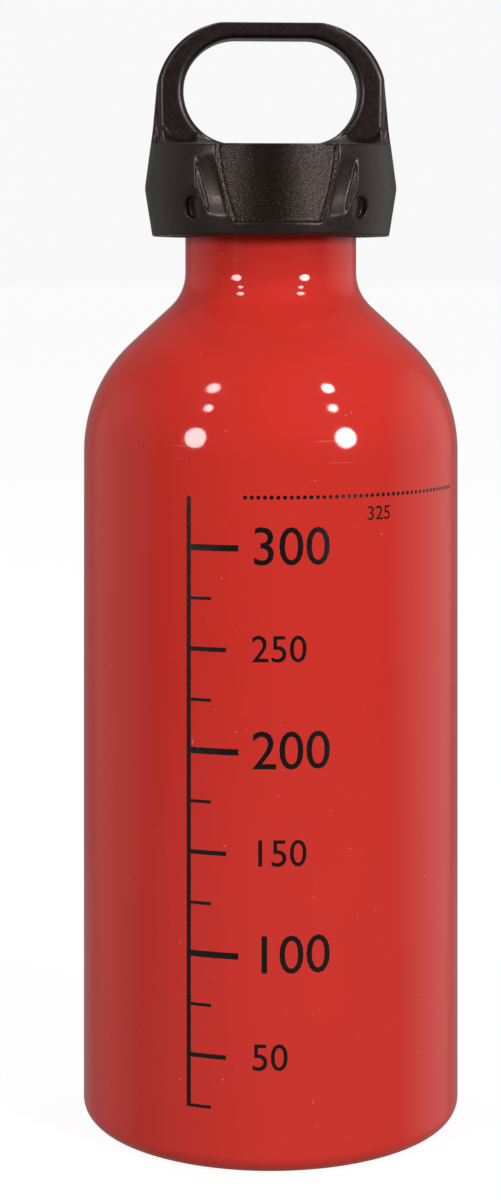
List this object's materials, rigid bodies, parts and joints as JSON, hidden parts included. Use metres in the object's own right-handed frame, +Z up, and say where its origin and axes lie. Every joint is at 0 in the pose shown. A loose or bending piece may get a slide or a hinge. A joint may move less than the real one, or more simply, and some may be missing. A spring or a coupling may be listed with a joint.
{
  "type": "fuel bottle",
  "caption": "Metal bottle for liquid stove fuel with a straight wall, rounded shoulder and domed base, closed by a push-and-turn cap with an upright carrying loop.",
  "frame": {"origin": "centre of the foot ring, on the surface that the bottle stands on", "axes": "+Z up the bottle's axis, front towards -Y, the carrying loop along X; the cap is screwed home, its shell is up and nothing is pushed"},
  "size_m": [0.0644, 0.0644, 0.187],
  "materials": {
    "coated_aluminium": "gloss red lacquer outside, bare inside",
    "seal_rubber": "matt black nitrile",
    "plug_plastic": "moulded black",
    "spring_steel": "drawn stainless wire",
    "shell_plastic": "fine-grained black moulding"
  },
  "bodies": {
    "bottle": {"bottle": "coated_aluminium"},
    "seal": {"o_ring": "seal_rubber"},
    "plug": {"threaded_plug": "plug_plastic"},
    "spring": {"return_spring": "spring_steel"},
    "shell": {"cap_shell": "shell_plastic"}
  },
  "joints": [
    {"name": "thread_lift", "type": "slide", "parent": "bottle", "child": "seal", "axis": [0, 0, 1], "range_m": [0, 0.0135]},
    {"name": "cap_unscrew", "type": "hinge", "parent": "seal", "child": "plug", "pos_m": [0, 0, 0], "axis": [0, 0, 1], "range_deg": [0, 1620]},
    {"name": "shell_turn", "type": "hinge", "parent": "plug", "child": "spring", "pos_m": [0, 0, 0], "axis": [0, 0, 1], "continuous": true},
    {"name": "push_down", "type": "slide", "parent": "spring", "child": "shell", "axis": [0, 0, 1], "range_m": [-0.0018, 0], "stiffness_N_per_m": 4000, "springref_m": 0.001, "deforming": ["return_spring"]}
  ],
  "couplings": [
    {"joint": "thread_lift", "follows": "cap_unscrew", "m_per_rad": 0.00047746}
  ]
}
